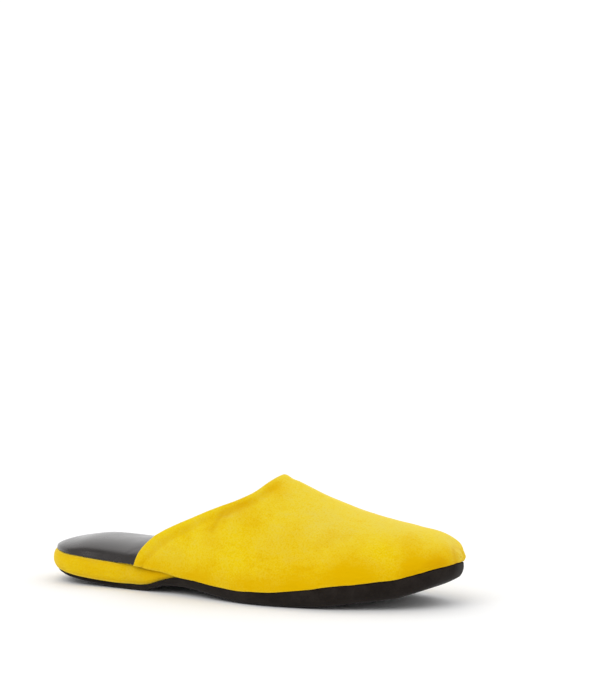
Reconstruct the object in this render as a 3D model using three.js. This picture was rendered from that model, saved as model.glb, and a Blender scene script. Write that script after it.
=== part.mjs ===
// A right backless slipper (babouche): soft sprung sole, suede-covered heel wedge, domed insole and a
// hollow vamp with a peaked collar. Millimetres, +Z up, toe towards +X, the outer side towards -Y.
// Every surface follows one last: a plan outline and height lines along it, met by arched sections.
import * as THREE from "three";
import { mergeVertices } from "three/addons/utils/BufferGeometryUtils.js";

// Driving dimensions of the last
const LENGTH = 290;
const HEEL_WIDTH = 68;
const WAIST_WIDTH = 68;
const BALL_WIDTH = 99;
const TOE_WIDTH = 82; // across the toes, before the end rounds off
const TOE_SWING = 9; // how far the tip lies towards the inner side
const WAIST_SWING = 4; // how far the waist lies towards the outer side
const HEEL_ROUND = 35; // length of the rounded heel end
const TOE_ROUND = 80; // length of the rounded toe end

// Heights
const INSTEP_HEIGHT = 77.6; // collar peak above the floor
const TOE_BOX_HEIGHT = 29.5; // ridge over the sole's top edge, above the toes
const TOE_END_HEIGHT = 3; // upright stretch of the vamp at the very tip
const TOE_SPRING = 19; // underside of the sole at the tip
const HEEL_LIFT = 7.6; // underside of the sole at the back of the heel
const ARCH_LIFT = 5.1; // underside of the sole at the waist

// Thicknesses and clearances
const FOREFOOT_SOLE = 13; // side of the sole at the toes
const WAIST_SOLE = 7;
const HEEL_SOLE = 3.4;
const WEDGE_HEIGHT = 13.6; // suede-covered side of the heel wedge
const WALL = 1.8; // vamp suede and lining together
const INSOLE_EDGE = 3.2; // upright edge of the insole inside the vamp
const INSOLE_DOME = 11.5; // rise of the padded heel seat over its edge
const GAP = 0.3; // between touching pieces

// Roundings and tucks
const HEEL_TUCK = 3.2; // from the wedge's bulge in to the sole's side
const TOE_TUCK = 0.6; // from the vamp's edge in to the sole's side at the tip
const SOLE_ROUND = 6; // from the sole's side in to its flat underside
const SEAM_INSET = 2.6; // from the wedge's bulge in to its seam with the insole
const SIDE_BULGE = 1.4; // swell of the vamp's sides over the sole's edge
const RIDGE_SWING = 4; // how far the ridge leans towards the inner side
const TOE_DROP = 54; // length over which the ridge rolls down to the tip

// Collar
const COLLAR_BACK = 77; // where the vamp's wings start, from the back of the heel
const COLLAR_PEAK = 167; // where the collar crosses the ridge
const HEM_WIDTH = 5.8; // turned edge along the collar, measured square to it
const HEM_RISE = 0.5; // how far the turned edge stands proud

// Mesh fineness
const END_STATIONS = 11; // in each rounded end of the sole and the insole
const STATION_SPACING = 6;
const GIRTH_STEPS = 36; // round the vamp
const VAMP_STEPS = 36; // along the vamp
const ACROSS_STEPS = 14; // across the insole
const MERGE_DISTANCE = 1e-4;

// Smooth curve through the rows of a table, without overshoot. Each row has an at and the named column.
function curve(rows, column) {
  const x = rows.map((row) => row.at);
  const y = rows.map((row) => row[column]);
  const slope = x.slice(1).map((_, i) => (y[i + 1] - y[i]) / (x[i + 1] - x[i]));
  const tangent = x.map((_, i) => {
    if (i === 0) return slope[0];
    if (i === x.length - 1) return slope[i - 1];
    const before = slope[i - 1];
    const after = slope[i];
    return before * after <= 0 ? 0 : (2 * before * after) / (before + after);
  });
  return (at) => {
    const a = THREE.MathUtils.clamp(at, x[0], x[x.length - 1]);
    let i = 0;
    while (i < x.length - 2 && a > x[i + 1]) i += 1;
    const step = x[i + 1] - x[i];
    const u = (a - x[i]) / step;
    const start = y[i] * (1 + 2 * u) + tangent[i] * step * u;
    const end = y[i + 1] * (3 - 2 * u) + tangent[i + 1] * step * (u - 1);
    return start * (1 - u) ** 2 + end * u ** 2;
  };
}

// A quarter of a superellipse: 1 at u = 0, falling to 0 at u = 1.
function quarter(u, power) {
  return Math.max(0, 1 - Math.abs(u) ** power) ** (1 / power);
}

// Plan of the last. at is the share of the length; width and swing are in millimetres.
const PLAN = [
  { at: 0.0, width: HEEL_WIDTH, swing: 0 },
  { at: 0.16, width: HEEL_WIDTH, swing: 0 },
  { at: 0.36, width: WAIST_WIDTH, swing: -WAIST_SWING },
  { at: 0.5, width: 0.45 * WAIST_WIDTH + 0.55 * BALL_WIDTH, swing: -WAIST_SWING },
  { at: 0.64, width: BALL_WIDTH, swing: -0.35 * WAIST_SWING },
  { at: 0.73, width: BALL_WIDTH, swing: 0.12 * TOE_SWING },
  { at: 0.86, width: 0.4 * BALL_WIDTH + 0.6 * TOE_WIDTH, swing: 0.5 * TOE_SWING },
  { at: 1.0, width: TOE_WIDTH, swing: TOE_SWING },
];
const planWidth = curve(PLAN, "width");
const planSwing = curve(PLAN, "swing");
const HEEL_POWER = 2.1; // how square the heel end is in plan
const TOE_POWER = 2.15; // how square the toe end is in plan

function planHalf(at) {
  const heel = quarter(Math.max(0, 1 - (at * LENGTH) / HEEL_ROUND), HEEL_POWER);
  const toe = quarter(Math.max(0, 1 - ((1 - at) * LENGTH) / TOE_ROUND), TOE_POWER);
  return (planWidth(at) / 2) * heel * toe;
}

// Heights along the last: underside of the sole, and the sole's top edge, where its side ends.
const UNDERSIDE = [
  { at: 0.0, z: HEEL_LIFT },
  { at: 0.04, z: 0.82 * HEEL_LIFT },
  { at: 0.08, z: 0.56 * HEEL_LIFT },
  { at: 0.12, z: 0.35 * HEEL_LIFT },
  { at: 0.16, z: 0.17 * HEEL_LIFT },
  { at: 0.2, z: 0.05 * HEEL_LIFT },
  { at: 0.222, z: 0 },
  { at: 0.272, z: 0 },
  { at: 0.3, z: 0.32 * ARCH_LIFT },
  { at: 0.34, z: 0.96 * ARCH_LIFT },
  { at: 0.37, z: ARCH_LIFT },
  { at: 0.42, z: 0.85 * ARCH_LIFT },
  { at: 0.5, z: 0.32 * ARCH_LIFT },
  { at: 0.56, z: 0 },
  { at: 0.66, z: 0 },
  { at: 0.74, z: 0.06 * TOE_SPRING },
  { at: 0.78, z: 0.13 * TOE_SPRING },
  { at: 0.82, z: 0.225 * TOE_SPRING },
  { at: 0.86, z: 0.305 * TOE_SPRING },
  { at: 0.885, z: 0.335 * TOE_SPRING },
  { at: 0.94, z: 0.615 * TOE_SPRING },
  { at: 0.97, z: 0.82 * TOE_SPRING },
  { at: 1.0, z: TOE_SPRING },
];
const SIDE_HEIGHT = [
  { at: 0.0, z: 0.6 * HEEL_SOLE },
  { at: 0.06, z: 0.65 * HEEL_SOLE },
  { at: 0.13, z: 0.82 * HEEL_SOLE },
  { at: 0.24, z: HEEL_SOLE },
  { at: 0.3, z: 0.95 * HEEL_SOLE },
  { at: 0.34, z: 0.58 * WAIST_SOLE },
  { at: 0.39, z: 0.92 * WAIST_SOLE },
  { at: 0.47, z: WAIST_SOLE },
  { at: 0.56, z: 1.18 * WAIST_SOLE },
  { at: 0.62, z: 0.69 * FOREFOOT_SOLE },
  { at: 0.7, z: 0.86 * FOREFOOT_SOLE },
  { at: 0.78, z: 0.96 * FOREFOOT_SOLE },
  { at: 0.82, z: 0.96 * FOREFOOT_SOLE },
  { at: 0.87, z: FOREFOOT_SOLE },
  { at: 0.94, z: 0.87 * FOREFOOT_SOLE },
  { at: 0.97, z: 0.8 * FOREFOOT_SOLE },
  { at: 1.0, z: 0.7 * FOREFOOT_SOLE },
];
const underside = curve(UNDERSIDE, "z");
const sideHeight = curve(SIDE_HEIGHT, "z");
const featherLine = (at) => underside(at) + sideHeight(at);

// Seat: the plane that carries the insole, on the wedge at the heel and on the sole ahead of it.
const WEDGE_END = 0.47; // share of the length where the wedge has run out
const SEAT_OVER_FEATHER = [
  { at: 0.0, z: 0.85 * WEDGE_HEIGHT },
  { at: 0.06, z: 0.93 * WEDGE_HEIGHT },
  { at: 0.12, z: WEDGE_HEIGHT },
  { at: 0.24, z: WEDGE_HEIGHT },
  { at: 0.29, z: 0.86 * WEDGE_HEIGHT },
  { at: 0.36, z: 0.38 * WEDGE_HEIGHT },
  { at: WEDGE_END, z: 0.1 * WEDGE_HEIGHT },
  { at: 0.52, z: 0 },
  { at: 1.0, z: 0 },
];
const seatRise = curve(SEAT_OVER_FEATHER, "z");
const seatLine = (at) => featherLine(at) + seatRise(at);

// A point of the plan outline. side is -1 on the outer side and +1 on the inner side.
function outline(at, side) {
  const swing = planSwing(at);
  return new THREE.Vector2(at * LENGTH, swing + side * planHalf(at));
}

// Stations that every piece shares: close together in both rounded ends, evenly spaced between them.
function lastStations() {
  const heelEnd = HEEL_ROUND / LENGTH;
  const toeStart = 1 - TOE_ROUND / LENGTH;
  const quarterTurn = (i) => 1 - Math.cos((Math.PI / 2) * (i / END_STATIONS));
  const ends = Array.from({ length: END_STATIONS }, (_, i) => quarterTurn(i));
  const steps = Math.round(((toeStart - heelEnd) * LENGTH) / STATION_SPACING);
  const middle = Array.from({ length: steps + 1 }, (_, i) => heelEnd + ((toeStart - heelEnd) * i) / steps);
  const heel = ends.map((share) => share * heelEnd);
  const toe = ends.map((share) => 1 - share * (1 - toeStart)).reverse();
  return [...heel, ...middle, ...toe];
}

// Plan points with their stations and outward normals, as far as a cut across: the outer side from the
// heel, then the inner side back. Each rounded end is one point that both sides share.
function planRing(cutAt = 1) {
  const stations = lastStations();
  const outerSide = stations.map((at) => ({ at, point: outline(at, -1) }));
  const innerSide = stations.slice(1, -1).map((at) => ({ at, point: outline(at, 1) })).reverse();
  const whole = [...outerSide, ...innerSide];
  whole.forEach((entry, i) => {
    const before = whole[(i + whole.length - 1) % whole.length].point;
    const after = whole[(i + 1) % whole.length].point;
    entry.normal = new THREE.Vector2(after.y - before.y, before.x - after.x).normalize();
  });
  const entries = whole.filter((entry) => entry.at <= cutAt);
  const outer = stations.filter((at) => at <= cutAt).map((_, i) => i);
  const inner = outer.map((i) => (i === 0 ? 0 : entries.length - i));
  return { entries, outer, inner };
}

function insetPoint(entry, inset) {
  return entry.point.clone().addScaledVector(entry.normal, -inset);
}

// Collects vertices and triangles, and drops the triangles that a shared end point makes empty.
class Shell {
  constructor() {
    this.positions = [];
    this.faces = [];
  }

  vertex(x, y, z) {
    this.positions.push(x, y, z);
    return this.positions.length / 3 - 1;
  }

  triangle(a, b, c) {
    if (a !== b && b !== c && c !== a) this.faces.push(a, b, c);
  }

  quad(a, b, c, d) {
    this.triangle(a, b, c);
    this.triangle(a, c, d);
  }

  // Joins two closed loops of vertices. The faces look outward when the loops run counter-clockwise
  // seen from above and the first one is the lower.
  band(lower, upper) {
    lower.forEach((_, i) => {
      const j = (i + 1) % lower.length;
      this.quad(lower[i], lower[j], upper[j], upper[i]);
    });
  }

  geometry() {
    const made = new THREE.BufferGeometry();
    made.setAttribute("position", new THREE.Float32BufferAttribute(this.positions, 3));
    made.setIndex(this.faces);
    return mergeVertices(made, MERGE_DISTANCE);
  }
}

// One loop of vertices at an inset from the plan. Its height follows the length, so that pieces which
// lie on each other share one surface.
function plannedLoop(shell, ring, inset, height) {
  return ring.entries.map((entry) => {
    const point = insetPoint(entry, inset(entry.at));
    return shell.vertex(point.x, point.y, height(point.x / LENGTH));
  });
}

// Rows of triangles straight across, from the outer to the inner side.
function closeAcross(shell, ring, loop, facesUp) {
  for (let i = 0; i < ring.outer.length - 1; i += 1) {
    const corners = [ring.outer[i], ring.outer[i + 1], ring.inner[i + 1], ring.inner[i]];
    const [a, b, c, d] = (facesUp ? corners : corners.reverse()).map((k) => loop[k]);
    shell.quad(a, b, c, d);
  }
}

// A solid made of loops that follow the plan, from its flat underside to its flat top.
function stackedSolid(layers, cutAt) {
  const shell = new Shell();
  const ring = planRing(cutAt);
  const loops = layers.map((layer) => plannedLoop(shell, ring, layer.inset, layer.height));
  loops.slice(1).forEach((loop, k) => shell.band(loops[k], loop));
  closeAcross(shell, ring, loops[0], false);
  closeAcross(shell, ring, loops[loops.length - 1], true);
  return shell.geometry();
}

// Outsole: tucked in under the heel wedge, its side rounded into the underside.
const SOLE_TUCK = [
  { at: 0.0, inset: HEEL_TUCK },
  { at: 0.26, inset: 0.92 * HEEL_TUCK },
  { at: 0.36, inset: 0.32 * HEEL_TUCK },
  { at: 0.45, inset: 0 },
  { at: 0.9, inset: 0 },
  { at: 1.0, inset: TOE_TUCK },
];
const soleTuck = curve(SOLE_TUCK, "inset");
const SOLE_SIDE = [
  { up: 0, inset: SOLE_ROUND },
  { up: 0.06, inset: 0.43 * SOLE_ROUND },
  { up: 0.28, inset: 0.15 * SOLE_ROUND },
  { up: 0.6, inset: 0 },
  { up: 0.9, inset: 0.03 * SOLE_ROUND },
  { up: 1, inset: 0.12 * SOLE_ROUND },
  { up: 1, inset: 1.2 * SOLE_ROUND },
];

function outsoleGeometry() {
  const layers = SOLE_SIDE.map((row) => ({
    inset: (at) => soleTuck(at) + row.inset,
    height: (at) => underside(at) + row.up * sideHeight(at),
  }));
  return stackedSolid(layers);
}

// Heel wedge: a bulging suede side, stepped in where the vamp's wings lap over it.
const WEDGE_TUCK = [
  { at: 0.0, inset: 0 },
  { at: 0.2, inset: 0 },
  { at: 0.25, inset: WALL + 2 * GAP },
  { at: 1.0, inset: WALL + 2 * GAP },
];
const wedgeTuck = curve(WEDGE_TUCK, "inset");
const WEDGE_SIDE = [
  { up: 0, inset: 1.9 * SEAM_INSET },
  { up: 0.03, inset: 0.85 * SEAM_INSET },
  { up: 0.2, inset: 0.23 * SEAM_INSET },
  { up: 0.48, inset: 0 },
  { up: 0.78, inset: 0.19 * SEAM_INSET },
  { up: 0.95, inset: 0.62 * SEAM_INSET },
  { up: 1, inset: SEAM_INSET },
  { up: 1, inset: 2.9 * SEAM_INSET },
];

function wedgeGeometry() {
  const base = (at) => featherLine(at) + GAP;
  const layers = WEDGE_SIDE.map((row) => ({
    inset: (at) => wedgeTuck(at) + row.inset,
    height: (at) => base(at) + row.up * (seatLine(at) - base(at)),
  }));
  return stackedSolid(layers, WEDGE_END);
}

// Insole: lies on the seat, with a high dome over the heel that runs out towards the toes.
const INSOLE_INSET = Math.max(SEAM_INSET, WALL + 3 * GAP);
const DOME = [
  { at: 0.0, rise: 0, edge: 0.35 * INSOLE_EDGE },
  { at: 0.012, rise: 0.13 * INSOLE_DOME, edge: 0.35 * INSOLE_EDGE },
  { at: 0.035, rise: 0.36 * INSOLE_DOME, edge: 0.35 * INSOLE_EDGE },
  { at: 0.08, rise: 0.69 * INSOLE_DOME, edge: 0.35 * INSOLE_EDGE },
  { at: 0.12, rise: 0.86 * INSOLE_DOME, edge: 0.35 * INSOLE_EDGE },
  { at: 0.16, rise: 0.95 * INSOLE_DOME, edge: 0.35 * INSOLE_EDGE },
  { at: 0.25, rise: INSOLE_DOME, edge: 0.35 * INSOLE_EDGE },
  { at: 0.38, rise: 0.76 * INSOLE_DOME, edge: 0.7 * INSOLE_EDGE },
  { at: 0.52, rise: 0.3 * INSOLE_DOME, edge: INSOLE_EDGE },
  { at: 0.7, rise: 0.13 * INSOLE_DOME, edge: INSOLE_EDGE },
  { at: 0.95, rise: 0.1 * INSOLE_DOME, edge: INSOLE_EDGE },
  { at: 1.0, rise: 0, edge: INSOLE_EDGE },
];
const domeRise = curve(DOME, "rise");
const insoleEdge = curve(DOME, "edge");
const DOME_POWER = 2.2; // how full the dome is across

function insoleGeometry() {
  const shell = new Shell();
  const ring = planRing();
  const base = (at) => seatLine(at) + GAP;
  const inset = () => INSOLE_INSET;
  const bottom = plannedLoop(shell, ring, inset, base);
  const edge = plannedLoop(shell, ring, inset, (at) => base(at) + insoleEdge(at));
  shell.band(bottom, edge);
  closeAcross(shell, ring, bottom, false);
  const rows = ring.outer.map((outerIndex, i) => {
    const entry = ring.entries[outerIndex];
    const from = insetPoint(entry, INSOLE_INSET);
    const to = insetPoint(ring.entries[ring.inner[i]], INSOLE_INSET);
    return Array.from({ length: ACROSS_STEPS + 1 }, (_, j) => {
      if (j === 0) return edge[outerIndex];
      if (j === ACROSS_STEPS) return edge[ring.inner[i]];
      const turn = Math.cos((Math.PI * j) / ACROSS_STEPS);
      const point = from.clone().lerp(to, (1 - turn) / 2);
      const at = point.x / LENGTH;
      const rise = domeRise(at) * quarter(turn, DOME_POWER);
      return shell.vertex(point.x, point.y, base(at) + insoleEdge(at) + rise);
    });
  });
  rows.slice(1).forEach((row, i) => {
    for (let j = 0; j < ACROSS_STEPS; j += 1) {
      shell.quad(rows[i][j], row[j], row[j + 1], rows[i][j + 1]);
    }
  });
  return shell.geometry();
}

// Vamp: arched sections that stand on the sole's top edge. Behind the collar the arch is only a guide.
const WING_START = COLLAR_BACK / LENGTH;
const WING_JOIN = 0.376; // where the wings' lower edge comes down to the sole
const WING_RISE = 0.4; // how far the wings' tips stand off the wedge
const RIDGE = [
  { at: 0.25, z: 1.36 * INSTEP_HEIGHT, power: 2.2 },
  { at: 0.4, z: 1.28 * INSTEP_HEIGHT, power: 1.95 },
  { at: 0.5, z: 1.14 * INSTEP_HEIGHT, power: 1.75 },
  { at: COLLAR_PEAK / LENGTH, z: INSTEP_HEIGHT, power: 1.6 },
  { at: 0.607, z: 0.954 * INSTEP_HEIGHT, power: 1.6 },
  { at: 0.68, z: 0.836 * INSTEP_HEIGHT, power: 1.7 },
];
const TOE_RIDGE = [
  { at: 0.76, rise: 1.445 * TOE_BOX_HEIGHT, power: 1.85 },
  { at: 0.81, rise: 1.245 * TOE_BOX_HEIGHT, power: 1.95 },
  { at: 0.865, rise: 1.09 * TOE_BOX_HEIGHT, power: 2.05 },
  { at: 0.91, rise: 1.05 * TOE_BOX_HEIGHT, power: 2.1 },
  { at: 0.94, rise: 0.97 * TOE_BOX_HEIGHT, power: 2.1 },
  { at: 1.0, rise: 0.8 * TOE_BOX_HEIGHT, power: 2.2 },
];
const ARCH = [
  ...RIDGE.map((row) => ({ ...row, rise: row.z - featherLine(row.at) })),
  ...TOE_RIDGE,
];
const archRise = curve(ARCH, "rise");
const archPower = curve(ARCH, "power");
const TOE_DROP_POWER = 2.05;
const TIP_SHARE = 0.5; // of the half width at the toes: narrower than this, swell and lean fade out

// Lower edge of the vamp: along the sole, and behind it rising over the wedge to the seat.
function vampEdge(at) {
  if (at >= WING_JOIN) return featherLine(at) + GAP;
  const u = (WING_JOIN - at) / (WING_JOIN - WING_START);
  const start = seatLine(WING_START) + GAP + WING_RISE;
  return THREE.MathUtils.lerp(featherLine(WING_JOIN) + GAP, start, Math.min(u, 1));
}

// A point of the vamp's outer face. turn runs from 0 at the outer edge over the ridge to 1 at the inner.
function vampPoint(x, turn) {
  const at = x / LENGTH;
  const bottom = vampEdge(at);
  const drop = quarter(Math.max(0, 1 - (LENGTH - x) / TOE_DROP), TOE_DROP_POWER);
  const crown = featherLine(at) + archRise(at) - bottom;
  const rise = TOE_END_HEIGHT + (crown - TOE_END_HEIGHT) * drop;
  const power = archPower(at);
  const across = Math.cos(Math.PI * turn);
  const up = Math.sin(Math.PI * turn);
  const y = Math.sign(across) * Math.abs(across) ** (2 / power);
  const height = up ** (2 / power);
  const fade = Math.min(1, planHalf(at) / ((TIP_SHARE * TOE_WIDTH) / 2));
  const swell = SIDE_BULGE * fade * Math.sin(Math.PI * Math.min(1, 2.2 * height));
  const lean = RIDGE_SWING * fade * height;
  return new THREE.Vector3(
    x,
    planSwing(at) + lean - y * planHalf(at) - Math.sign(across) * swell,
    bottom + rise * height,
  );
}

// Collar line from the side: the share of the reach from wing to peak, at a share of the height.
const COLLAR = [
  { at: 0.0, reach: 0 },
  { at: 0.09, reach: 0.02 },
  { at: 0.16, reach: 0.055 },
  { at: 0.26, reach: 0.12 },
  { at: 0.36, reach: 0.2 },
  { at: 0.46, reach: 0.325 },
  { at: 0.54, reach: 0.447 },
  { at: 0.64, reach: 0.595 },
  { at: 0.77, reach: 0.81 },
  { at: 0.86, reach: 0.914 },
  { at: 0.93, reach: 0.955 },
  { at: 1.0, reach: 1 },
];
const collarReach = curve(COLLAR, "reach");

function collarAt(z) {
  const foot = vampEdge(WING_START);
  return COLLAR_BACK + (COLLAR_PEAK - COLLAR_BACK) * collarReach((z - foot) / (INSTEP_HEIGHT - foot));
}

// Where the collar cuts a line of equal turn, found by halving the stretch that holds it.
function collarCut(turn) {
  let low = COLLAR_BACK;
  let high = COLLAR_PEAK;
  for (let i = 0; i < 40; i += 1) {
    const middle = (low + high) / 2;
    if (middle < collarAt(vampPoint(middle, turn).z)) low = middle;
    else high = middle;
  }
  return high;
}

const HEM_ROWS = [
  { share: 0, proud: 1 },
  { share: 0.5, proud: 1 },
  { share: 0.9, proud: 0.8 },
  { share: 1, proud: -0.7 },
  { share: 1.25, proud: 0 },
];
const EDGE_ROUNDING = 0.7; // how far the folded edge rounds out, behind the collar line
const LEAST_CROSSING = 0.42; // sine of the flattest angle at which a row is taken to cross the collar

// How far each row runs forward from the collar line until it is one hem width from it.
function hemReach(edge, turns) {
  return edge.map((point, i) => {
    const before = edge[Math.max(i - 1, 0)];
    const after = edge[Math.min(i + 1, edge.length - 1)];
    const along = after.clone().sub(before).normalize();
    const ahead = vampPoint(point.x + 1, turns[i]).sub(point).normalize();
    return HEM_WIDTH / Math.max(along.cross(ahead).length(), LEAST_CROSSING);
  });
}

// Share of the way from hem to tip for a row: the rows lie close together at the tip, and closer at the
// hem than between.
function rowShare(u) {
  const closeAtTip = Math.sin((Math.PI / 2) * u);
  const closeAtBoth = (1 - Math.cos(Math.PI * u)) / 2;
  return (closeAtTip + closeAtBoth) / 2;
}

// The vamp's outer face as rows of points, each row from the outer edge over the ridge to the inner.
function vampRows() {
  const turns = Array.from({ length: GIRTH_STEPS + 1 }, (_, i) => i / GIRTH_STEPS);
  const cuts = turns.map(collarCut);
  const reach = hemReach(turns.map((turn, i) => vampPoint(cuts[i], turn)), turns);
  const hemEnd = HEM_ROWS[HEM_ROWS.length - 1].share;
  const hem = HEM_ROWS.map(({ share, proud }) => ({
    proud: proud * HEM_RISE,
    points: turns.map((turn, i) => vampPoint(cuts[i] + share * reach[i], turn)),
  }));
  const body = Array.from({ length: VAMP_STEPS }, (_, k) => ({
    proud: 0,
    points: turns.map((turn, i) => {
      const from = cuts[i] + hemEnd * reach[i];
      return vampPoint(from + (LENGTH - from) * rowShare((k + 1) / VAMP_STEPS), turn);
    }),
  }));
  return [...hem, ...body];
}

// Outward normals of a grid of points, from the neighbours on each side.
function gridNormals(rows) {
  return rows.map(({ points }, i) =>
    points.map((point, j) => {
      const behind = rows[Math.max(i - 1, 0)].points[j];
      const ahead = rows[Math.min(i + 1, rows.length - 1)].points[j];
      const left = points[Math.max(j - 1, 0)];
      const right = points[Math.min(j + 1, points.length - 1)];
      const along = ahead.clone().sub(behind);
      const round = right.clone().sub(left);
      return along.cross(round).normalize();
    }),
  );
}

function vampGeometry() {
  const rows = vampRows();
  const last = rows.length - 1;
  const normals = gridNormals(rows);
  normals[last] = normals[last].map(() => new THREE.Vector3(1, 0, 0));
  const shell = new Shell();
  const place = (offset, back) =>
    rows.map(({ points, proud }, i) =>
      points.map((point, j) => {
        const moved = point.clone().addScaledVector(normals[i][j], offset(proud));
        if (j === 0 || j === points.length - 1) moved.z = point.z;
        moved.x -= i === 0 ? back : 0;
        return shell.vertex(moved.x, moved.y, moved.z);
      }),
    );
  const outer = place((proud) => proud, 0);
  const inner = place(() => -WALL, 0);
  const edge = rows[0].points.map((point, j) => {
    const moved = point.clone().addScaledVector(normals[0][j], (HEM_RISE - WALL) / 2);
    return shell.vertex(moved.x - EDGE_ROUNDING, moved.y, j % GIRTH_STEPS === 0 ? point.z : moved.z);
  });
  const strip = (from, to) => {
    for (let j = 0; j < GIRTH_STEPS; j += 1) shell.quad(from[j], to[j], to[j + 1], from[j + 1]);
  };
  strip(inner[0], edge);
  strip(edge, outer[0]);
  for (let i = 0; i < last; i += 1) {
    strip(outer[i], outer[i + 1]);
    strip(inner[i + 1], inner[i]);
  }
  [0, GIRTH_STEPS].forEach((j) => {
    const flip = j === 0;
    const face = (a, b, c, d) => (flip ? shell.quad(d, c, b, a) : shell.quad(a, b, c, d));
    shell.triangle(...(flip ? [inner[0][j], outer[0][j], edge[j]] : [edge[j], outer[0][j], inner[0][j]]));
    for (let i = 0; i < last; i += 1) face(inner[i][j], outer[i][j], outer[i + 1][j], inner[i + 1][j]);
  });
  return shell.geometry();
}

const suede = new THREE.MeshStandardMaterial({ color: 0xe9c81f, roughness: 0.95, metalness: 0 });
const soleSuede = new THREE.MeshStandardMaterial({ color: 0x26211f, roughness: 0.9, metalness: 0 });
const leather = new THREE.MeshStandardMaterial({ color: 0x2c2a2d, roughness: 0.38, metalness: 0 });

function piece(name, geometry, material) {
  const mesh = new THREE.Mesh(geometry, material);
  mesh.name = name;
  return mesh;
}

// The frame's origin is on the floor, under the middle of the slipper's length and width.
const slipper = new THREE.Group();
slipper.add(
  piece("outsole", outsoleGeometry(), soleSuede),
  piece("heel_wedge", wedgeGeometry(), suede),
  piece("insole", insoleGeometry(), leather),
  piece("vamp", vampGeometry(), suede),
);
const box = new THREE.Box3().setFromObject(slipper);
slipper.position.set(-(box.min.x + box.max.x) / 2, -(box.min.y + box.max.y) / 2, -box.min.z);

export default slipper;
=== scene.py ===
"""Looks of the right babouche slipper: yellow suede vamp and heel band, padded black leather insole and
black suede sole. Every piece starts as a smooth copy of its CAD node, so it lies where the frame says."""

import math

import bmesh
import bpy
import numpy as np
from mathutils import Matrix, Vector, kdtree, noise
from mathutils.bvhtree import BVHTree


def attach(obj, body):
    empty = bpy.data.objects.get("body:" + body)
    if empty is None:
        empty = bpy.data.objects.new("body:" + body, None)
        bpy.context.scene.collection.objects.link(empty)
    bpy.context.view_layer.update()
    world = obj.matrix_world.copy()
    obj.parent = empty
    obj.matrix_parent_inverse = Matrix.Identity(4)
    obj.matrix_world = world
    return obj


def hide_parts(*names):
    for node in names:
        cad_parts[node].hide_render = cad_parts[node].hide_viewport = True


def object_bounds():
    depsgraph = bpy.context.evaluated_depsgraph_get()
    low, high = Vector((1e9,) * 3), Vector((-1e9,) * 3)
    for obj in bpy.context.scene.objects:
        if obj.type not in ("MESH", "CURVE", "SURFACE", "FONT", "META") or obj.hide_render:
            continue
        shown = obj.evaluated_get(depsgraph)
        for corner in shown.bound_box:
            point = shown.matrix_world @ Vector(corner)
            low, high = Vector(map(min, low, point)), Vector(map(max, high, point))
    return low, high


MM = 0.001

# Camera and framing, as fitted to the pair in the photograph: degrees, metres, and lens in millimetres
CAMERA_AZIMUTH = 28.0
CAMERA_PITCH = 5.5
CAMERA_DISTANCE = 2.5
CAMERA_AIM = Vector((0.0344, 0.0, 0.1659))
CAMERA_LENS = 207.4
SENSOR_LONG_SIDE = 36.0

# Frame
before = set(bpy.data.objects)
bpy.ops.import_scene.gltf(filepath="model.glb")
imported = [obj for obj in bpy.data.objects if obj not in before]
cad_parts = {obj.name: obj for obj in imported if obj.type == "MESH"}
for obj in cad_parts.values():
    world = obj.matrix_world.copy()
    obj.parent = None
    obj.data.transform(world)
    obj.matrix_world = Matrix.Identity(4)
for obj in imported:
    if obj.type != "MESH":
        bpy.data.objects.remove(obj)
cad_low, cad_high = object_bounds()

# Mesh helpers. Lengths are in metres.
MERGE = 0.004 * MM  # points of the CAD mesh that lie nearer than this are one
JOIN_ANGLE = math.radians(60)  # facets that meet more flatly than this may be joined to a quad
FLAT_UP = 0.9  # a face whose normal rises or falls more than this is level
CREASE = "crease_edge"
EDGE_SPACING = 0.5 * MM  # between the points that stand for an edge when distances are taken


def new_object(name, data):
    made = bpy.data.objects.new(name, data)
    bpy.context.scene.collection.objects.link(made)
    return made


def base_mesh(node):
    """The node's mesh with its facets joined to quads, as a bmesh."""
    bm = bmesh.new()
    bm.from_mesh(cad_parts[node].data)
    bmesh.ops.remove_doubles(bm, verts=bm.verts, dist=MERGE)
    bmesh.ops.join_triangles(
        bm, faces=bm.faces, angle_face_threshold=JOIN_ANGLE, angle_shape_threshold=math.pi
    )
    bmesh.ops.recalc_face_normals(bm, faces=bm.faces)
    bm.edges.layers.float.new(CREASE)
    bm.normal_update()
    return bm


def looks_up(face):
    return face.normal.z > FLAT_UP


def looks_down(face):
    return face.normal.z < -FLAT_UP


def is_level(face):
    return looks_up(face) or looks_down(face)


def is_side(face):
    return not is_level(face)


def border_edges(bm, inside, outside):
    """Edges where a face that passes one test meets a face that passes the other."""
    found = []
    for edge in bm.edges:
        if len(edge.link_faces) == 2:
            a, b = edge.link_faces
            if (inside(a) and outside(b)) or (inside(b) and outside(a)):
                found.append(edge)
    return found


def points_along(edges):
    points = []
    for edge in edges:
        start, end = (v.co for v in edge.verts)
        count = max(1, math.ceil((end - start).length / EDGE_SPACING))
        points += [start.lerp(end, i / count) for i in range(count + 1)]
    return points


def keep_crisp(bm, edges, amount):
    layer = bm.edges.layers.float[CREASE]
    for edge in edges:
        edge[layer] = amount


def nearest(co, points):
    """The nearest of the points to each coordinate."""
    tree = kdtree.KDTree(len(points))
    for i, point in enumerate(points):
        tree.insert(point, i)
    tree.balance()
    return np.array([tree.find(place)[0] for place in co])


def distances(co, points):
    """Distance of each coordinate from the nearest of the points."""
    return np.linalg.norm(co - nearest(co, points), axis=1)


def coordinates(mesh):
    co = np.empty(len(mesh.vertices) * 3)
    mesh.vertices.foreach_get("co", co)
    return co.reshape(-1, 3)


def vertex_arrays(piece):
    normals = np.empty(len(piece.data.vertices) * 3)
    piece.data.vertex_normals.foreach_get("vector", normals)
    return coordinates(piece.data), normals.reshape(-1, 3)


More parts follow.
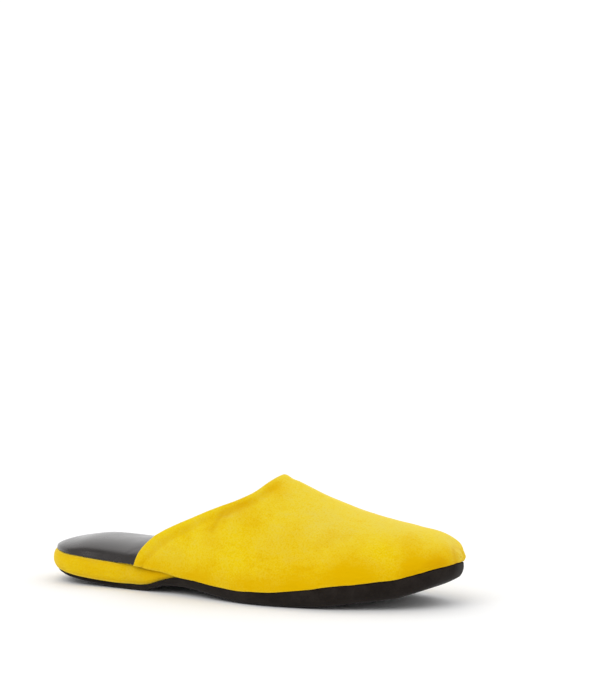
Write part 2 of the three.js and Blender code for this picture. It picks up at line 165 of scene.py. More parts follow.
def move_vertices(piece, co):
    piece.data.vertices.foreach_set("co", co.ravel())
    piece.data.update()


def evaluated_mesh(piece):
    bpy.context.view_layer.update()
    graph = bpy.context.evaluated_depsgraph_get()
    return bpy.data.meshes.new_from_object(piece.evaluated_get(graph))


def subdivided(bm, name, levels, materials, kept=1.0):
    """A smooth object from the bmesh. Its control points are first moved out, by that share of what the
    smoothing takes, so that the surface runs through the CAD's own points rather than inside them."""
    mesh = bpy.data.meshes.new(name)
    bm.to_mesh(mesh)
    bm.free()
    for made in materials:
        mesh.materials.append(made)
    rough = new_object(name + "_rough", mesh)
    smooth = rough.modifiers.new("smooth", "SUBSURF")
    smooth.levels = smooth.render_levels = levels
    smooth.boundary_smooth = "PRESERVE_CORNERS"
    wanted = coordinates(mesh)
    reached = coordinates(evaluated_mesh(rough))[: len(wanted)]
    move_vertices(rough, wanted + kept * (wanted - reached))
    made = evaluated_mesh(rough)
    bpy.data.objects.remove(rough)
    made.name = name
    made.shade_smooth()
    return new_object(name, made)


def relaxed(piece, co, share, rounds):
    """The coordinates with each vertex moved again and again towards the middle of its neighbours."""
    count = len(co)
    ends = np.empty(len(piece.data.edges) * 2, np.int32)
    piece.data.edges.foreach_get("vertices", ends)
    first, second = ends.reshape(-1, 2).T
    neighbours = np.bincount(ends, minlength=count)
    for _ in range(rounds):
        middle = np.empty_like(co)
        for axis in range(3):
            middle[:, axis] = np.bincount(first, co[second, axis], count)
            middle[:, axis] += np.bincount(second, co[first, axis], count)
        co = co + share[:, None] * (middle / neighbours[:, None] - co)
    return co


def on_cad(co, node):
    """Each coordinate moved to the nearest point of the CAD node's surface."""
    bm = bmesh.new()
    bm.from_mesh(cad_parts[node].data)
    tree = BVHTree.FromBMesh(bm)
    bm.free()
    return np.array([tree.find_nearest(point)[0] for point in co])


def store(piece, name, values):
    """Keeps one number for each vertex, for the materials to read."""
    kept = piece.data.attributes.new(name, "FLOAT", "POINT")
    kept.data.foreach_set("value", np.clip(values, 0, 1).astype(np.float32))


def material_vertices(piece, index):
    """True for each vertex that touches a face of that material."""
    found = np.zeros(len(piece.data.vertices), bool)
    for polygon in piece.data.polygons:
        if polygon.material_index == index:
            found[list(polygon.vertices)] = True
    return found


# Soft shapes: bells round a line or a place, and clouds that are the same on every run
SEED_STEPS = (7.3, 3.1, 5.7)  # how far apart the clouds of two seeds are taken
FOLD_STEPS = 12  # points on each stretch of a fold
FOLD_RIDGE = 0.3  # height of the ridge beside a fold, as a share of its depth


def bell(distance, width):
    return np.exp(-((distance / width) ** 2))


def clouds(co, size, seed):
    """Soft random values between about -1 and 1, with features of the given size."""
    shift = Vector([seed * step for step in SEED_STEPS])
    return np.array([noise.fractal(Vector(p) / size + shift, 1.0, 2.0, 2) for p in co])


def fold_offsets(co, folds):
    """Sum of the soft troughs, in metres, with how deep each vertex lies in one as a share, which the vamp
    uses for painted shade.
    """
    offset = np.zeros(len(co))
    shade_and_deep_tone = np.zeros(len(co))
    for fold in folds:
        points = [Vector(p) * MM for p in fold["along"]]
        line = []
        for start, end in zip(points, points[1:]):
            line += [start.lerp(end, i / FOLD_STEPS) for i in range(FOLD_STEPS + 1)]
        away = distances(co, line)
        width = fold["width"] * MM
        trough = bell(away, width)
        offset += fold["depth"] * MM * (FOLD_RIDGE * bell(away - 2 * width, width) - trough)
        shade_and_deep_tone += min(1, fold["depth"]) * trough
    return offset, shade_and_deep_tone


def zone_share(co, zones):
    """Each vertex's sum of soft round zones, listed as x, y, z and radius in mm and weight."""
    share = np.zeros(len(co))
    for x, y, z, radius, weight in zones:
        away = np.linalg.norm(co - np.array([x, y, z]) * MM, axis=1)
        share += weight * bell(away, radius * MM)
    return share


# The seam between the suede and what it stands on: it wavers a little, and under the wings it climbs
SEAM_WAVER = 0.16 * MM
WAVER_SIZE = 9 * MM
WING_PLACE = -46 * MM
WING_REACH = 11 * MM
WING_LIFT = 1.5 * MM
SEAM_PLACES = [(77, 10, 0.6), (103, 8, -0.45)]  # place along the shoe, reach and rise in millimetres


def seam_shift(co, under_wing):
    """How far up the seam lies from the CAD's at each coordinate."""
    lift = WING_LIFT * bell(co[:, 0] - WING_PLACE, WING_REACH) if under_wing else 0
    for place, reach, rise in SEAM_PLACES:
        lift = lift + rise * MM * bell(co[:, 0] - place * MM, reach * MM)
    return lift + SEAM_WAVER * clouds(co, WAVER_SIZE, 9)


# Node helpers
def node_adder(tree):
    """A function that adds a node to the tree, with its settings and its inputs set or linked."""

    def add(kind, inputs=None, **settings):
        node = tree.nodes.new(kind)
        for key, value in settings.items():
            setattr(node, key, value)
        for key, value in (inputs or {}).items():
            if isinstance(value, bpy.types.NodeSocket):
                tree.links.new(value, node.inputs[key])
            else:
                node.inputs[key].default_value = value
        return node

    return add


def material(name, surface):
    """A new material whose shader has these values all over, the shader, and a function to add nodes."""
    made = bpy.data.materials.new(name)
    made.use_nodes = True
    shader = made.node_tree.nodes["Principled BSDF"]
    for key, value in surface.items():
        shader.inputs[key].default_value = value
    return made, shader, node_adder(made.node_tree)


def join(output, shader, key):
    shader.id_data.links.new(output, shader.inputs[key])


def object_place(add):
    return add("ShaderNodeTexCoord").outputs["Object"]


def noise_value(add, place, size, detail=2.0, roughness=0.5, distortion=0.0):
    """Noise from 0 to 1 whose features measure the given size in metres."""
    grain = {"Detail": detail, "Roughness": roughness, "Distortion": distortion}
    return add("ShaderNodeTexNoise", {"Vector": place, "Scale": 1 / size, **grain}).outputs["Fac"]


def mixed(add, share, first, second):
    node = add("ShaderNodeMix", {"Factor": share}, data_type="RGBA")
    for socket, value in ((node.inputs[6], first), (node.inputs[7], second)):
        if isinstance(value, bpy.types.NodeSocket):
            node.id_data.links.new(value, socket)
        else:
            socket.default_value = (*value, 1.0)
    return node.outputs[2]


def spread(add, value, low, high, to_low=0.0, to_high=1.0):
    """The value with low..high mapped to to_low..to_high, and no further."""
    node = add(
        "ShaderNodeMapRange",
        {"Value": value, "From Min": low, "From Max": high, "To Min": to_low, "To Max": to_high},
    )
    return node.outputs["Result"]


def weigh(add, first, first_share, second, second_share):
    scaled = add("ShaderNodeMath", {0: second, 1: second_share}, operation="MULTIPLY").outputs[0]
    return add("ShaderNodeMath", {0: first, 1: first_share, 2: scaled}, operation="MULTIPLY_ADD").outputs[0]


def blended(add, main, other):
    """Two noises as one, in which the first counts a little more."""
    return weigh(add, main, 0.6, other, 0.4)


def stored(add, name):
    return add("ShaderNodeAttribute", attribute_name=name).outputs["Fac"]


def give_relief(add, shader, height, strength, depth):
    """Grain as bump. It only tilts the light, and moves no surface."""
    bump = add("ShaderNodeBump", {"Strength": strength, "Distance": depth, "Height": height})
    join(bump.outputs["Normal"], shader, "Normal")


# Suede: its nap lies lighter or darker in soft patches; painted shade makes it deeper in colour low down, in
# the folds and under the vamp's wing, and painted sheen and highlight make it lighter on top, at the toe and
# along the edges
YELLOW = (0.84, 0.65, 0.008)
SHEEN_AND_PALE_NAP_YELLOW = (0.785, 0.63, 0.080)
SHADE_AND_DARK_NAP_AMBER = (0.775, 0.50, 0.0005)
SHADE_AND_DEEP_TONE_AMBER = (0.66, 0.35, 0.001)
SUEDE_PATCH = 16 * MM
SUEDE_BRUSH = 4 * MM
SUEDE_GRAIN = 1.0 * MM
SUEDE_FIBRE = 0.35 * MM
BRUSHED = (0.5, 1.0, 1.0)  # the strokes are twice as long along the shoe
NAP_VARIETY = 0.30
GRAIN_VARIETY = 0.5
NAP_DARK, GRAIN_DARK = (0.5, 0.36), (0.5, 0.3)  # where the noise starts to darken, and where it is darkest
NAP_LIGHT, GRAIN_LIGHT = (0.5, 0.64), (0.5, 0.7)
SUEDE_SURFACE = {
    "Roughness": 0.95,
    "Diffuse Roughness": 0.8,
    "Specular IOR Level": 0.0,
    "Sheen Weight": 0.2,
    "Sheen Roughness": 0.4,
    "Sheen Tint": (1.0, 0.93, 0.60, 1.0),
}


def tone_share(add, zones, nap, nap_range, grain, grain_range):
    """Share of a darker or lighter tone: its stored share, which holds painted shade for the darker tone and
    painted sheen and highlight for the lighter one, besides tone, and where nap and grain turn that way.
    """
    share = weigh(add, stored(add, zones), 1.0, spread(add, nap, *nap_range), NAP_VARIETY)
    return weigh(add, share, 1.0, spread(add, grain, *grain_range), GRAIN_VARIETY)


def suede_material():
    made, shader, add = material("yellow_suede", SUEDE_SURFACE)
    place = object_place(add)
    strokes = add("ShaderNodeMapping", {"Vector": place, "Scale": BRUSHED}).outputs["Vector"]
    patch = noise_value(add, place, SUEDE_PATCH, detail=3.0, roughness=0.55, distortion=0.4)
    brush = noise_value(add, strokes, SUEDE_BRUSH, detail=3.0, roughness=0.6)
    grain = noise_value(add, place, SUEDE_GRAIN, detail=2.0, roughness=0.6)
    fibre = noise_value(add, strokes, SUEDE_FIBRE, detail=1.0)
    nap = blended(add, patch, brush)
    sheen_and_pale_nap = tone_share(add, "sheen_and_pale_nap", nap, NAP_LIGHT, grain, GRAIN_LIGHT)
    dark = tone_share(add, "shade_and_dark_nap", nap, NAP_DARK, grain, GRAIN_DARK)
    # Painted sheen and highlight, with lighter nap, lift the yellow; painted shade low down, in the creases
    # and under the wing, with darker nap, deepens it
    colour = mixed(add, sheen_and_pale_nap, YELLOW, SHEEN_AND_PALE_NAP_YELLOW)
    colour = mixed(add, dark, colour, SHADE_AND_DARK_NAP_AMBER)
    colour = mixed(add, stored(add, "shade_and_deep_tone"), colour, SHADE_AND_DEEP_TONE_AMBER)
    join(colour, shader, "Base Color")
    give_relief(add, shader, blended(add, grain, fibre), 0.3, 0.2 * MM)
    return made


# Black leather of the insole and of the vamp's lining
LEATHER_BLACK = (0.013, 0.0105, 0.009)
LEATHER_WORN = (0.020, 0.017, 0.016)
LEATHER_GRAIN = 1.4 * MM
LEATHER_PORES = 0.5 * MM
LEATHER_CLOUD = 18 * MM
PAD_ROUGHNESS = 0.25
LINING_ROUGHNESS = 0.55
SMOOTHER, ROUGHER = 0.04, 0.05  # how far the roughness strays to each side
LEATHER_SURFACE = {"Specular IOR Level": 1.0, "Specular Tint": (1.0, 0.97, 0.97, 1.0)}


def leather_material(name, roughness):
    made, shader, add = material(name, LEATHER_SURFACE)
    place = object_place(add)
    cells = add("ShaderNodeTexVoronoi", {"Vector": place, "Scale": 1 / LEATHER_GRAIN}, feature="SMOOTH_F1")
    pores = noise_value(add, place, LEATHER_PORES, detail=2.0)
    cloud = noise_value(add, place, LEATHER_CLOUD, detail=3.0)
    join(mixed(add, spread(add, cloud, 0.35, 0.7), LEATHER_BLACK, LEATHER_WORN), shader, "Base Color")
    join(spread(add, cloud, 0.3, 0.7, roughness - SMOOTHER, roughness + ROUGHER), shader, "Roughness")
    give_relief(add, shader, blended(add, cells.outputs["Distance"], pores), 0.35, 0.1 * MM)
    return made


# Black suede of the sole
SOLE_DARK = (0.012, 0.009, 0.0073)
SOLE_LIGHT = (0.021, 0.0165, 0.014)
SOLE_PATCH = 9 * MM
SOLE_GRAIN = 0.8 * MM
SOLE_SURFACE = {
    "Roughness": 0.95,
    "Specular IOR Level": 0.1,
    "Sheen Weight": 0.07,
    "Sheen Roughness": 0.5,
}


def sole_material():
    made, shader, add = material("black_suede_sole", SOLE_SURFACE)
    place = object_place(add)
    patch = noise_value(add, place, SOLE_PATCH, detail=4.0, roughness=0.6)
    grain = noise_value(add, place, SOLE_GRAIN, detail=2.0)
    nap = spread(add, blended(add, patch, grain), 0.4, 0.62)
    join(mixed(add, nap, SOLE_DARK, SOLE_LIGHT), shader, "Base Color")
    give_relief(add, shader, grain, 0.4, 0.2 * MM)
    return made


# Vamp: suede outside and round the turned edge, leather lining inside
SUEDE, LINING = 0, 1
SLICE = 4 * MM  # lengthwise slices that tell the vamp's outer face from its inner one
FOOT_NORMAL = -0.7
FOOT_CRISP = 0.75
TURNED_IN = 6 * MM  # width of the suede that is turned in over the lining's edge
TURNED_EVEN = 1.2 * MM  # points of its border that lie this near that width are moved onto it

# The step of the turned edge is softened, and the toe's tip is smoothed, but not at the foot
HEM_TROUGH = 5.8 * MM  # from the turned edge to the middle of the trough beside it
HEM_SOFT = 2.6 * MM
HEM_SHARE = 0.9
HEM_ROUNDS = 60
TIP_SOFT = [(144.5, 9, 35, 9, 0.8)]  # x, y, z and radius in millimetres, and share
TIP_ROUNDS = 30
FOOT_STILL = 1.5 * MM
FOOT_FADE = 4 * MM

# Its soft forms
HEM_WIDTH = 1.9 * MM
HEM_DEPTH = 0.24 * MM
HEM_UNEVEN = 0.8
UNEVEN_SIZE = 16 * MM
PEAK = (24.6 * MM, 0.0, 77.0 * MM)
PEAK_REACH = 13 * MM  # the trough fades out this near the peak
FOOT_REACH = 4 * MM
LIP_HEIGHT = 0.9 * MM  # rolled lip of suede where the vamp meets the sole
LIP_DEPTH = 0.14 * MM
SWELL_SIZE = 30 * MM
SWELL = 0.3 * MM
TOE_START = 112 * MM  # ahead of this the foot is tucked in under the toe instead
TOE_FULL = 136 * MM
TOE_TUCK = 0.9 * MM
TOE_TUCK_REACH = 1.7 * MM
TOE_DROP = 0.25 * MM
TOE_SHAPE = [(130, 16, 44, 8, 0.95), (139.5, 15, 40, 8, -1.6)]  # fullness of the toe, all in millimetres

# Its folds: points on the outer face, depth and half width in millimetres
VAMP_FOLDS = [
    # Outer wing, down from the collar, and one further back
    {"along": [(-3.9, -34.2, 55.9), (-6.5, -36.4, 50.0), (-9.0, -38.3, 44.5)], "depth": 0.5, "width": 1.8},
    {"along": [(0.7, -33.5, 57.0), (-1.5, -36.5, 50.0)], "depth": 0.3, "width": 1.8},
    {
        "along": [(-30.8, -36.3, 44.7), (-27.5, -37.8, 40.0), (-25.1, -38.6, 36.9)],
        "depth": 0.16,
        "width": 2.2,
    },
    # Low on the toe, on its outer and its inner side
    {"along": [(132.3, -17.1, 28.9), (137.2, -11.4, 30.6), (140.9, -6.1, 31.2)], "depth": 0.3, "width": 2.0},
    {"along": [(120, 38, 30), (132, 31, 32), (140, 22, 33)], "depth": 0.4, "width": 2.6},
    # Fine creases at the toe's tip
    {"along": [(138.3, 11.3, 40.8), (141.9, 10.6, 38.0), (144.5, 11.8, 33.9)], "depth": 0.14, "width": 0.8},
    {"along": [(139.8, 8.1, 39.6), (142.9, 8.5, 36.7), (144.6, 10.3, 33.7)], "depth": 0.14, "width": 0.8},
    {"along": [(140.4, 3.6, 38.1), (143.1, 5.2, 35.6), (144.8, 8.0, 32.9)], "depth": 0.11, "width": 0.8},
    # Inner wing, and a broad dent over the ball
    {"along": [(-8, 34, 56), (-6, 37, 48), (-10, 38, 41)], "depth": 0.35, "width": 2.4},
    {"along": [(60, -40, 40), (72, -34, 44), (82, -24, 47)], "depth": 0.15, "width": 5.0},
]

# Its tones: shares of painted highlight on the edges, painted shade on the low parts and in the folds, and
# painted sheen on the top
HEM_SHADE = 0.28
FOLD_SHADE = 0.7
LOW_REACH = 11 * MM
LOW_SHADE = 0.75
LOW_UNEVEN = 0.5
TOP_SHEEN = 0.55
TOP_START, TOP_SPAN = 0.45, 0.5  # how far up a face looks where the painted sheen on top starts, and until it is full
COLLAR_HIGHLIGHT, COLLAR_HIGHLIGHT_REACH = 0.8, 0.8 * MM
LIP_HIGHLIGHT, LIP_HIGHLIGHT_REACH = 0.35, 0.6 * MM

# Zones that are darker (painted shade in creases and low down, with darker nap), lighter (painted sheen at
# the toe and on top, with lighter nap) or deepest (painted shade low at the toe): x, y, z and radius in
# millimetres, and weight
SHADE_AND_DARK_NAP_ZONES = [
    (6, -31, 60, 8, 0.40), (25, -14, 70, 8, 0.60), (-8, -38, 47, 8, 0.30), (19, -35, 48, 9, 0.35),
    (-10, -44, 21, 10, 0.25), (33, -45, 31, 11, 0.30), (56, -47, 25, 13, 0.45), (85, -42, 27, 13, 0.45),
    (47, -35, 43, 10, 0.30), (96, -37, 29, 10, 0.35), (113, -14, 43, 8, 0.20), (122, -13, 40, 8, 0.28),
    (126, -21, 30, 9, 0.55), (137, -10, 31, 7, 0.50), (30, 25, 66, 12, 0.40), (70, 40, 40, 14, 0.35),
    (144, 9, 33, 6, -0.60),
]
SHEEN_AND_PALE_NAP_ZONES = [
    (65, -23, 51, 15, 0.30), (-33, -39, 24, 9, 0.30), (34, -39, 40, 9, 0.25), (103, 2, 50, 16, 0.20),
    (144, 7, 35, 8, 0.80), (139, 14, 41, 8, 0.60), (-45, -38, 31, 8, 0.25), (80, 20, 52, 16, 0.30),
    (-10, -41, 37, 12, 0.22), (6, -33, 55, 9, 0.30), (105, -24, 38, 13, -0.28),
    (19, -50, 13, 7, 0.28), (40, -51, 13, 10, 0.32),
]
DEEP_SHADE_ZONES = [(126, -22, 23, 9, 0.28), (139, -10, 28, 8, 0.42), (146, 2, 30, 6, 0.25), (84, -44, 15, 6, 0.12)]


def vamp_face_kinds(bm):
    """Sorts the vamp's faces into outer, inner and foot, by where each slice's middle lies."""
    slices = {}
    for vertex in bm.verts:
        slices.setdefault(round(vertex.co.x / SLICE), []).append(vertex.co)
    middles = {}
    for key, points in slices.items():
        sides = [p.y for p in points]
        middles[key] = ((min(sides) + max(sides)) / 2, min(p.z for p in points))
    kinds = {}
    for face in bm.faces:
        centre = face.calc_center_median()
        middle, foot = middles[round(centre.x / SLICE)]
        outward = Vector((0, centre.y - middle, centre.z - foot))
        if face.normal.z < FOOT_NORMAL and centre.z - foot < SLICE:
            kinds[face] = "foot"
        else:
            kinds[face] = "outer" if face.normal.dot(outward) > 0 else "inner"
    return kinds


def smooth_vamp(materials):
    """The vamp before its folds, with points along its collar and along its foot."""
    bm = base_mesh("vamp")
    kinds = vamp_face_kinds(bm)
    for face in bm.faces:
        face.material_index = LINING if kinds[face] == "inner" else SUEDE
    collar = border_edges(bm, lambda f: kinds[f] == "outer", lambda f: kinds[f] == "inner")
    foot = border_edges(bm, lambda f: kinds[f] == "outer", lambda f: kinds[f] == "foot")
    keep_crisp(bm, foot, FOOT_CRISP)
    collar_points, foot_points = points_along(collar), points_along(foot)
    return subdivided(bm, "vamp_suede", 2, materials), collar_points, foot_points


def soften_vamp(piece, outer, from_edge, from_foot):
    loose = np.clip((from_foot - FOOT_STILL) / FOOT_FADE, 0, 1)
    co = coordinates(piece.data)
    co = relaxed(piece, co, HEM_SHARE * bell(from_edge - HEM_TROUGH, HEM_SOFT) * outer * loose, HEM_ROUNDS)
    co = relaxed(piece, co, zone_share(co, TIP_SOFT) * outer * loose, TIP_ROUNDS)
    move_vertices(piece, co)


def hem_trough(co, from_edge, uneven):
    """How deep each vertex lies in the trough beside the turned edge, as a share."""
    off_peak = 1 - bell(np.linalg.norm(co - np.array(PEAK), axis=1), PEAK_REACH)
    return bell(from_edge - HEM_TROUGH, HEM_WIDTH) * off_peak * np.clip(1 + HEM_UNEVEN * uneven, 0, 2)


def shape_vamp(piece, outer, from_edge, from_foot, inward):
    """Moves the vamp's vertices: the outer face by all its soft forms, both faces at the toe and foot."""
    co, normals = vertex_arrays(piece)
    toe = np.clip((co[:, 0] - TOE_START) / (TOE_FULL - TOE_START), 0, 1)
    lip = -LIP_DEPTH * bell(from_foot - 2 * LIP_HEIGHT, LIP_HEIGHT) * (1 - toe)
    swell = SWELL * clouds(co, SWELL_SIZE, 3) * np.clip(from_edge / (2 * HEM_TROUGH), 0, 1)
    fullness = MM * zone_share(co, TOE_SHAPE)
    offset = np.where(outer, lip + swell - inward + fullness, -fullness)
    moved = co + normals * offset[:, None]
    moved[:, 2] += (seam_shift(co, under_wing=True) - TOE_DROP * toe) * bell(from_foot, FOOT_REACH)
    tuck = TOE_TUCK * toe * bell(from_foot, TOE_TUCK_REACH) * outer
    moved[:, :2] -= normals[:, :2] * tuck[:, None]
    move_vertices(piece, moved)


def turn_suede_in(piece, collar):
    """Gives the lining's faces next to the collar the suede that is turned in there, with an even edge."""
    co = coordinates(piece.data)
    start = nearest(co, collar)
    away = np.linalg.norm(co - start, axis=1)
    for polygon in piece.data.polygons:
        if polygon.material_index == LINING and away[list(polygon.vertices)].mean() < TURNED_IN:
            polygon.material_index = SUEDE
    edge = material_vertices(piece, LINING) & material_vertices(piece, SUEDE)
    edge &= np.abs(away - TURNED_IN) < TURNED_EVEN
    co[edge] = start[edge] + (co - start)[edge] * (TURNED_IN / away[edge])[:, None]
    move_vertices(piece, co)


def make_vamp(materials):
    piece, collar, foot = smooth_vamp(materials)
    outer = ~material_vertices(piece, LINING)
    co = coordinates(piece.data)
    from_edge, from_foot = distances(co, collar), distances(co, foot)
    soften_vamp(piece, outer, from_edge, from_foot)

    co, normals = vertex_arrays(piece)
    uneven = clouds(co, UNEVEN_SIZE, 1)
    trough = hem_trough(co, from_edge, uneven)
    folds, shade_and_deep_tone = fold_offsets(co, VAMP_FOLDS)
    shape_vamp(piece, outer, from_edge, from_foot, HEM_DEPTH * trough - folds)
    turn_suede_in(piece, collar)

    # Painted light, stored for the suede: painted shade low down by the sole, painted highlight along the
    # collar's turned edge and the rolled lip at the foot, painted sheen on faces that look up, and painted
    # shade in the hem's trough, in the folds and low at the toe
    low = LOW_SHADE * bell(from_foot, LOW_REACH) * (1 + LOW_UNEVEN * uneven)
    edges = np.maximum(
        COLLAR_HIGHLIGHT * bell(from_edge, COLLAR_HIGHLIGHT_REACH), LIP_HIGHLIGHT * bell(from_foot, LIP_HIGHLIGHT_REACH)
    )
    top = TOP_SHEEN * np.clip((normals[:, 2] - TOP_START) / TOP_SPAN, 0, 1)
    shade_and_deep_tone = HEM_SHADE * trough + FOLD_SHADE * shade_and_deep_tone + zone_share(co, DEEP_SHADE_ZONES)
    store(piece, "shade_and_deep_tone", np.where(outer, shade_and_deep_tone, 0))
    store(piece, "shade_and_dark_nap", low * (1 - edges) + zone_share(co, SHADE_AND_DARK_NAP_ZONES))
    store(piece, "sheen_and_pale_nap", top + edges + zone_share(co, SHEEN_AND_PALE_NAP_ZONES))
    return piece


# Heel wedge: suede band with a thin lip above and below
BAND_CRISP = 0.4
BAND_KEPT = 0.3
BAND_LIP = 0.8 * MM
BAND_LIP_RISE = 0.07 * MM
BAND_SWELL_SIZE = 22 * MM
BAND_SWELL = 0.16 * MM
BAND_REACH = 3 * MM
RIM_REACH = 1.2 * BAND_LIP
RIM_HIGHLIGHT = 0.8
GROOVE_SHADE = 0.12  # painted shade in the fine groove beside the lip
# deeper tone all over the band
BAND_DEEP = 0.18
BAND_AMBER = 0.35
BAND_PATCH = 14 * MM
BAND_UNEVEN = 0.6
UNDER_WING_SHADE = [(-56, -36, 15, 9, 0.35)]  # painted shade beneath the vamp's wing, a zone listed like the vamp's


def make_band(materials):
    bm = base_mesh("heel_wedge")
    rim_edges = border_edges(bm, is_level, is_side)
    keep_crisp(bm, rim_edges, BAND_CRISP)
    rims = points_along(rim_edges)
    upper = points_along(border_edges(bm, looks_up, is_side))
    piece = subdivided(bm, "heel_band_suede", 2, materials, kept=BAND_KEPT)

    co, normals = vertex_arrays(piece)
    from_rim = distances(co, rims)
    groove = bell(from_rim - 2 * BAND_LIP, BAND_LIP)
    lip = BAND_LIP_RISE * (bell(from_rim, BAND_LIP) - groove)
    swell = BAND_SWELL * clouds(co, BAND_SWELL_SIZE, 4)
    moved = co + normals * (lip + swell)[:, None]
    moved[:, 2] += seam_shift(co, under_wing=True) * bell(distances(co, upper), BAND_REACH)
    move_vertices(piece, moved)

    # Painted highlight on the lips, painted shade in the groove beside them and beneath the vamp's wing, a
    # deeper tone all over, and darker patches at random
    rim_highlight = bell(from_rim, RIM_REACH)
    patchy = BAND_AMBER * (1 + BAND_UNEVEN * clouds(co, BAND_PATCH, 8))
    store(piece, "shade_and_deep_tone", BAND_DEEP + GROOVE_SHADE * groove)
    store(piece, "shade_and_dark_nap", patchy * (1 - rim_highlight) + zone_share(co, UNDER_WING_SHADE))
    store(piece, "sheen_and_pale_nap", RIM_HIGHLIGHT * rim_highlight)
    return piece


# Insole: leather over padding. Its cover is simulated as cloth that is cut a little wide and pressed out
# by the filling, and held down where it is stitched in at the edge.
PAD_CRISP = 0.85
PAD_SCALE = 20  # the simulation runs this much larger, where its steps hold still
PAD_WIDE = 0.001
PAD_PRESSURE = 0.015
PAD_QUALITY = 6
PAD_STRETCH = 15
PAD_SHEAR = 8
PAD_BENDING = 2
PAD_STEPS = 16
PAD_GIVE = 0.8 * MM  # no move is larger than this
PAD_SEAM = 1.2 * MM
PAD_UNDERSIDE = -0.5  # what looks down more than this is glued to the sole
PAD_FADE = 3 * MM  # the folds and the swell grow over this from the edge
PAD_SIDES = -0.2  # and they reach down to where the side looks down this much
PAD_SWELL_SIZE = 35 * MM
PAD_SWELL = 0.08 * MM
TINY = 1e-9
INSOLE_FOLDS = [
    {"along": [(-76, -30, 24), (-72, -26, 27), (-66, -22, 29)], "depth": 0.16, "width": 1.1},
    {"along": [(-68, -31, 23), (-63, -26, 26)], "depth": 0.14, "width": 1.0},
    {"along": [(-72, 28, 24), (-65, 23, 28)], "depth": 0.15, "width": 1.1},
]


def add_cloth(piece, held):
    """The cloth modifier for the pad's cover, with the held vertices pinned."""
    group = piece.vertex_groups.new(name="held")
    group.add([int(i) for i in np.flatnonzero(held)], 1.0, "REPLACE")
    cloth = piece.modifiers.new("cloth", "CLOTH")
    settings = cloth.settings
    settings.quality = PAD_QUALITY
    settings.tension_stiffness = settings.compression_stiffness = PAD_STRETCH
    settings.shear_stiffness = PAD_SHEAR
    settings.bending_stiffness = PAD_BENDING
    settings.shrink_min = -PAD_WIDE
    settings.use_pressure = True
    settings.uniform_pressure_force = PAD_PRESSURE
    settings.vertex_group_mass = group.name
    settings.effector_weights.gravity = 0
    cloth.collision_settings.use_collision = False
    cloth.point_cache.frame_start, cloth.point_cache.frame_end = 1, PAD_STEPS
    return cloth


def settle_as_cloth(piece, held):
    """Moves the piece's vertices to where a cloth simulation leaves them; the held ones stay."""
    start = coordinates(piece.data)
    move_vertices(piece, start * PAD_SCALE)
    cloth = add_cloth(piece, held)
    scene = bpy.context.scene
    for step in range(1, PAD_STEPS + 1):
        scene.frame_set(step)
    settled = coordinates(evaluated_mesh(piece)) / PAD_SCALE
    piece.modifiers.remove(cloth)
    scene.frame_set(1)
    move = settled - start
    length = np.linalg.norm(move, axis=1)
    print("pad simulated, largest move in mm", round(float(length.max()) / MM, 3))
    capped = PAD_GIVE * np.tanh(length / PAD_GIVE) / np.maximum(length, TINY)
    move_vertices(piece, start + move * capped[:, None])


def make_insole(materials):
    bm = base_mesh("insole")
    edge_lines = border_edges(bm, looks_down, lambda f: not looks_down(f))
    keep_crisp(bm, edge_lines, PAD_CRISP)
    edge = points_along(edge_lines)
    half_way = subdivided(bm, "insole_half", 1, materials)
    co, normals = vertex_arrays(half_way)
    settle_as_cloth(half_way, (normals[:, 2] < PAD_UNDERSIDE) | (distances(co, edge) < PAD_SEAM))

    bm = bmesh.new()
    bm.from_mesh(half_way.data)
    bpy.data.objects.remove(half_way)
    piece = subdivided(bm, "insole_pad", 1, materials)
    co, normals = vertex_arrays(piece)
    folds, _ = fold_offsets(co, INSOLE_FOLDS)
    free = np.clip(distances(co, edge) / PAD_FADE, 0, 1) * (normals[:, 2] > PAD_SIDES)
    offset = free * (PAD_SWELL * clouds(co, PAD_SWELL_SIZE, 6) + folds)
    move_vertices(piece, co + normals * offset[:, None])
    return piece


# Outsole: black suede, with the line between its two layers round the heel
LAYER_HEIGHT = 1.7 * MM
LAYER_WIDTH = 0.35 * MM
LAYER_DEPTH = 0.2 * MM
LAYER_END = -40 * MM
SOLE_SWELL_SIZE = 18 * MM
SOLE_SWELL = 0.12 * MM
SOLE_CRISP = 0.3
SOLE_REACH = 3 * MM
SOLE_UPRIGHT = 0.75  # only faces that look up or down less than this swell or have the line
SOLE_TIP = [(145, 3, 27, 5, 0.8)]  # the sole's tip comes this far forward under the toe
SOLE_SHARE = 0.5
SOLE_ROUNDS = 3


def make_outsole(materials):
    bm = base_mesh("outsole")
    under = points_along(border_edges(bm, looks_down, lambda f: not looks_down(f)))
    top_edges = border_edges(bm, looks_up, lambda f: not looks_up(f))
    keep_crisp(bm, top_edges, SOLE_CRISP)
    top = points_along(top_edges)
    piece = subdivided(bm, "outsole_suede", 2, materials, kept=0.0)
    co = on_cad(coordinates(piece.data), "outsole")
    move_vertices(piece, relaxed(piece, co, np.full(len(co), SOLE_SHARE), SOLE_ROUNDS))

    co, normals = vertex_arrays(piece)
    swell = SOLE_SWELL * clouds(co, SOLE_SWELL_SIZE, 7) + MM * zone_share(co, SOLE_TIP)
    line = bell(distances(co, under) - LAYER_HEIGHT, LAYER_WIDTH) * (co[:, 0] < LAYER_END)
    upright = np.abs(normals[:, 2]) < SOLE_UPRIGHT
    moved = co + normals * np.where(upright, swell - LAYER_DEPTH * line, 0)[:, None]
    moved[:, 2] += seam_shift(co, under_wing=False) * bell(distances(co, top), SOLE_REACH)
    moved[:, 2] = np.maximum(moved[:, 2], cad_low[2])
    move_vertices(piece, moved)
    return piece


def finish_piece(piece, node):
    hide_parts(node)
    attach(piece, "root")
    return piece


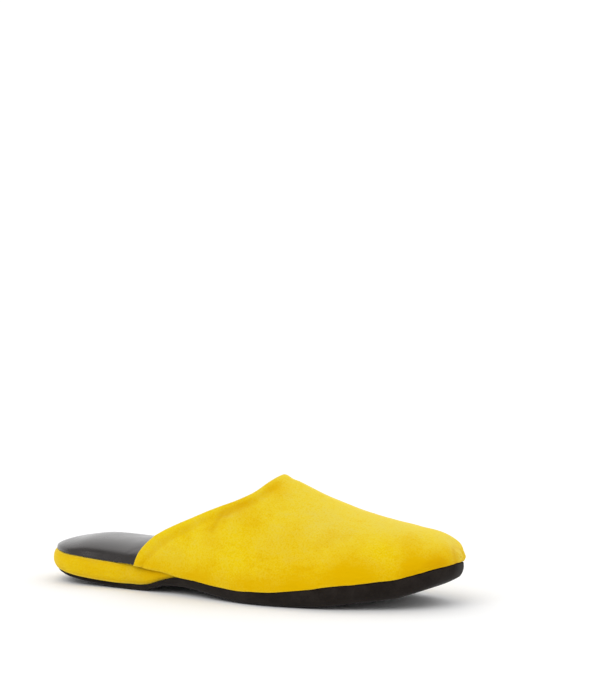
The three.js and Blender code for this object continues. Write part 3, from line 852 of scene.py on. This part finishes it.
suede = suede_material()
pad_leather = leather_material("black_leather", PAD_ROUGHNESS)
lining_leather = leather_material("black_lining", LINING_ROUGHNESS)
finish_piece(make_vamp([suede, lining_leather]), "vamp")
finish_piece(make_band([suede]), "heel_wedge")
insole = finish_piece(make_insole([pad_leather]), "insole")
finish_piece(make_outsole([sole_material()]), "outsole")


# Stage: floor, lights and camera. Lights are given as strength, width, azimuth and elevation in degrees.
FLOOR_SIZE = 120.0
FLOOR_SURFACE = {
    "Base Color": (0.94, 0.94, 0.94, 1.0),
    "Roughness": 0.9,
    "Specular IOR Level": 0.1,
}
KEY_LIGHT = (1.06, 60, -15, 46)
FILL_LIGHT = (0.75, 80, 60, 30)
GLINT_LIGHT = (0.22, 35, -10, 38)
BACK_LIGHT = 1.3  # brightness of the studio behind and over the shoe, and in front of it
FRONT_LIGHT = 0.36
TOWARDS_BACK = (-0.25, 0.97, 0.0)
LIGHT_BORDER = (-0.05, 0.3)  # how far towards the back the studio starts to brighten, and is bright


def make_floor():
    bpy.ops.mesh.primitive_plane_add(size=FLOOR_SIZE, location=(0, 0, 0))
    floor = bpy.context.object
    floor.name = "floor"
    made, _, _ = material("pale_floor", FLOOR_SURFACE)
    floor.data.materials.append(made)


def towards(azimuth, elevation):
    """Direction at these degrees. Azimuth 0 is the front (-Y), and 90 the toe (+X)."""
    a, e = math.radians(azimuth), math.radians(elevation)
    return Vector((math.sin(a) * math.cos(e), -math.cos(a) * math.cos(e), math.sin(e)))


def turn(made, back):
    """Turns a light or camera so that its back looks that way."""
    made.rotation_mode = "QUATERNION"
    made.rotation_quaternion = back.to_track_quat("Z", "Y")


def sun(name, strength, width, azimuth, elevation):
    """A soft distant light."""
    data = bpy.data.lights.new(name, "SUN")
    data.energy = strength
    data.angle = math.radians(width)
    lamp = new_object(name, data)
    turn(lamp, towards(azimuth, elevation))
    return lamp


def make_world():
    """A studio that is bright behind and over the shoe, and dim in front of it."""
    world = bpy.data.worlds.new("studio")
    world.use_nodes = True
    add = node_adder(world.node_tree)
    direction = add("ShaderNodeTexCoord").outputs["Generated"]
    back = add("ShaderNodeVectorMath", {0: direction, 1: TOWARDS_BACK}, operation="DOT_PRODUCT")
    share = spread(add, back.outputs["Value"], *LIGHT_BORDER)
    light = mixed(add, share, (FRONT_LIGHT,) * 3, (BACK_LIGHT,) * 3)
    join(light, world.node_tree.nodes["Background"], "Color")
    bpy.context.scene.world = world


def make_lights():
    key = sun("key_light", *KEY_LIGHT)
    fill = sun("fill_light", *FILL_LIGHT)
    key.visible_glossy = fill.visible_glossy = False
    sun("glint_light", *GLINT_LIGHT)
    make_world()
    bpy.context.scene.view_settings.view_transform = "Standard"


def make_camera():
    data = bpy.data.cameras.new("camera")
    data.lens = CAMERA_LENS
    data.sensor_width = SENSOR_LONG_SIDE
    camera = new_object("camera", data)
    back = towards(CAMERA_AZIMUTH, CAMERA_PITCH)
    camera.location = CAMERA_AIM + back * CAMERA_DISTANCE
    turn(camera, back)
    bpy.context.scene.camera = camera


make_floor()
make_lights()
make_camera()
